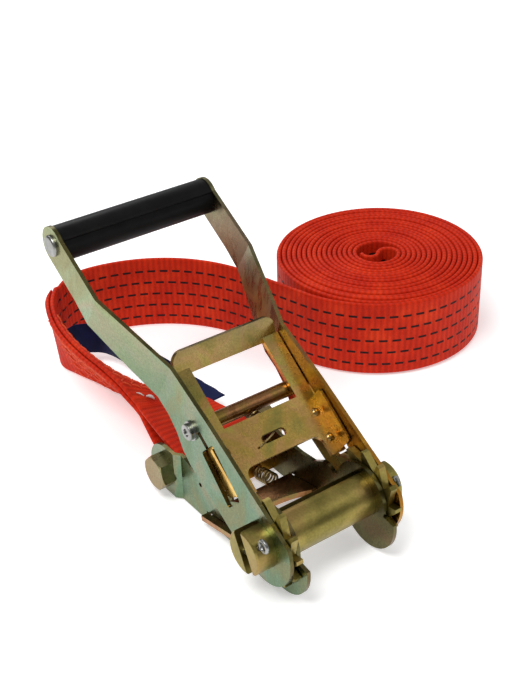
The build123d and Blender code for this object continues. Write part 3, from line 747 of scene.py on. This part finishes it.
def strap_edges():
    """Both edges of the whole strap, its fullness, and the index of the first sewn point."""
    coil = coil_path()
    high, low = upright_edges(coil, coil_lift(len(coil)))
    run = run_path()
    run_high, run_low = upright_edges(run, np.full(len(run), ground_gap))
    left, right, inward = tail_edges()
    lead = np.clip(np.arange(len(left)) / lead_in, 0, 1)[:, None]
    upper_left = left + inward * layer_offset * lead
    upper_right = right + inward * layer_offset * lead
    under = np.arange(len(left) - 1, 0, -1)
    taper = np.ones(len(left))
    taper[1 : len(end_taper) + 1] = end_taper
    parting = (strap_thickness * (1 + taper) / 2 + 0.2 * mm)[:, None] - layer_offset * lead
    lower_left = (left - inward * parting)[under]
    lower_right = (right - inward * parting)[under]
    lefts = np.concatenate([high, run_high, upper_left, loop_edge(*loop_left), lower_left])
    rights = np.concatenate([low, run_low, upper_right, loop_edge(*loop_right), lower_right])
    fullness = np.ones(len(lefts))
    fullness[-len(lower_left) :] = taper[under]
    sewn_start = len(high) + len(run_high) + unsewn_lead
    return lefts, rights, fullness, sewn_start


def add_strap():
    """The strap, from the coil's eye to the end of its sewn loop; returns its length."""
    left, right, fullness, sewn_start = strap_edges()
    middle = (left + right) / 2
    distance = np.cumsum(np.linalg.norm(np.diff(middle, axis=0), axis=1))
    cloth = webbing_cloth("orange_webbing", float(distance[sewn_start]))
    strap, length = ribbon("strap", left, right, strap_thickness, cloth, fullness)
    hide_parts("webbing_coil", "webbing_run", "webbing_tail", "webbing_loop")
    return length


# ---------------------------------------------------------------- sewing, label and threads
def stitch_mesh(name, stitches, radius, material):
    """Short raised threads: each stitch is a small arched tube between two points."""
    verts = []
    faces = []
    sides = 5
    rings = 5
    for start, end, up in stitches:
        across = np.cross(unit(end - start), up)
        base = len(verts)
        for i in range(rings):
            f = i / (rings - 1)
            arch = 4 * f * (1 - f)
            centre = start + (end - start) * f + up * radius * (arch * 0.9 - 0.35)
            thick = radius * (0.55 + 0.45 * arch)
            for k in range(sides):
                a = 2 * math.pi * k / sides
                verts.append(centre + thick * (math.cos(a) * across + math.sin(a) * up))
        for i in range(rings - 1):
            for k in range(sides):
                a = base + i * sides + k
                b = base + i * sides + (k + 1) % sides
                faces.append((a, b, b + sides, a + sides))
        faces.append(tuple(base + k for k in range(sides))[::-1])
        faces.append(tuple(base + (rings - 1) * sides + k for k in range(sides)))
    mesh = bpy.data.meshes.new(name)
    mesh.from_pydata([tuple(v) for v in verts], [], faces)
    add_frame_piece(name, mesh, material)


stitch_rows = [-21, -14, -7, 0, 7, 14, 21]         # millimetres from the middle of the strap
stitch_step = 2                    # points of the sewn end in one stitch
stitch_radius = 0.6 * mm
stitch_sway = 2.6 * mm
stitch_gap = 0.08                  # share of a stitch left bare at each end
sewn_margins = (12, 6)             # points of the sewn end left unsewn, at the join and at the loop


def add_stitching():
    """Zigzag rows along both faces of the sewn end."""
    left, right, inward = tail_edges()
    middle = (left + right) / 2
    across = unit(left - right)
    stitches = []
    for side in (1, -1):
        surface = middle + side * inward * (layer_offset + strap_thickness / 2)
        for row in stitch_rows:
            for i in range(sewn_margins[0], len(middle) - sewn_margins[1], stitch_step):
                after = i + stitch_step
                sway = stitch_sway if (i // stitch_step) % 2 else -stitch_sway
                a = surface[i] + across[i] * (row * mm + sway)
                b = surface[after] + across[after] * (row * mm - sway)
                bare = (b - a) * stitch_gap
                stitches.append((a + bare, b - bare, side * inward[i]))
    thread = thread_cloth("orange_thread", (0.60, 0.035, 0.006), (0.95, 0.13, 0.03))
    stitch_mesh("strap_stitching", stitches, stitch_radius, thread)


thread_place = (20 * mm, 139 * mm)                 # across from the middle of the sewn end, and y
thin_radius = 0.45 * mm
thick_radius = 1.0 * mm


def add_thread_ends():
    """Two loose white thread ends on the upper face of the sewn end, near the bolt."""
    white = thread_cloth("white_thread", (0.55, 0.50, 0.48), (0.85, 0.82, 0.8))
    left, right, inward = tail_edges()
    middle = (left + right) / 2
    across = unit(left - right)
    surface = middle + inward * (layer_offset + strap_thickness / 2)
    near = int(np.argmin(np.abs(middle[:, 1] - thread_place[1])))
    spot = surface[near] + across[near] * thread_place[0]
    along = unit(surface[near + 3] - surface[near])

    def on_face(forward, sideways):
        return spot + along * forward * mm - across[near] * sideways * mm

    thin = (on_face(1, 0), on_face(5.5, 1.5), inward[near])
    thick = (on_face(5, 3.4), on_face(8.6, 6.0), inward[near])
    stitch_mesh("thread_end_thin", [thin], thin_radius, white)
    stitch_mesh("thread_end_thick", [thick], thick_radius, white)


# edges of the label in millimetres, from under the bend of the strap to its free end
label_stations = [
    ((-14.6, 236.5, 29.0), (-11.0, 236.0, 9.0)),
    ((-7.6, 238.0, 32.5), (-5.4, 236.5, 6.5)),
    ((2.0, 235.5, 31.5), (5.5, 233.5, 5.0)),
    ((14.0, 206.0, 28.0), (15.5, 204.0, 3.0)),
    ((30.5, 168.0, 13.5), (16.5, 170.0, 1.6)),
    ((37.0, 141.0, 8.4), (24.5, 148.0, 2.0)),
]
label_spacing = 1.5                # millimetres


def add_label():
    left, right = matched_edges(label_stations, label_spacing)
    label, length = ribbon("label", left, right, label_thickness, label_cloth())
    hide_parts("strap_label")


trigger_lean = math.radians(37)
spindle_height = 28                # millimetres
wire_radius = 0.55 * mm
# the wire's points in millimetres: x, distance from the spindle along the trigger, height off it
leg_route = [
    (3.0, 50.0, -4.0),
    (2.0, 48.5, -1.5),
    (-1.0, 47.0, 1.0),
    (-6.0, 45.2, 1.0),
    (-11.0, 43.8, 0.9),
]


def on_trigger(x, along, off):
    """Point in metres, from millimetres in the trigger's own axes."""
    y = along * math.cos(trigger_lean) - off * math.sin(trigger_lean)
    z = spindle_height + along * math.sin(trigger_lean) + off * math.cos(trigger_lean)
    return (x * mm, y * mm, z * mm)


def add_spring_leg():
    """Wire leg of the trigger spring, out through the trigger's slot and along its face."""
    curve = bpy.data.curves.new("trigger_spring_leg", "CURVE")
    curve.dimensions = "3D"
    curve.bevel_depth = wire_radius
    curve.bevel_resolution = 4
    curve.use_fill_caps = True
    spline = curve.splines.new("NURBS")
    spline.points.add(len(leg_route) - 1)
    for point, place in zip(spline.points, leg_route):
        point.co = (*on_trigger(*place), 1)
    spline.order_u = 3
    spline.use_endpoint_u = True
    curve.materials.append(spring_wire())
    leg = add_object("trigger_spring_leg", curve)
    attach(leg, "trigger")


# ---------------------------------------------------------------- put together
add_camera()
add_world()
add_floor()
for light in lights:
    add_area_light(*light)
dress_cad_nodes()
strap_length = add_strap()
add_stitching()
add_thread_ends()
add_label()
add_spring_leg()
bpy.context.scene.view_settings.view_transform = "Standard"
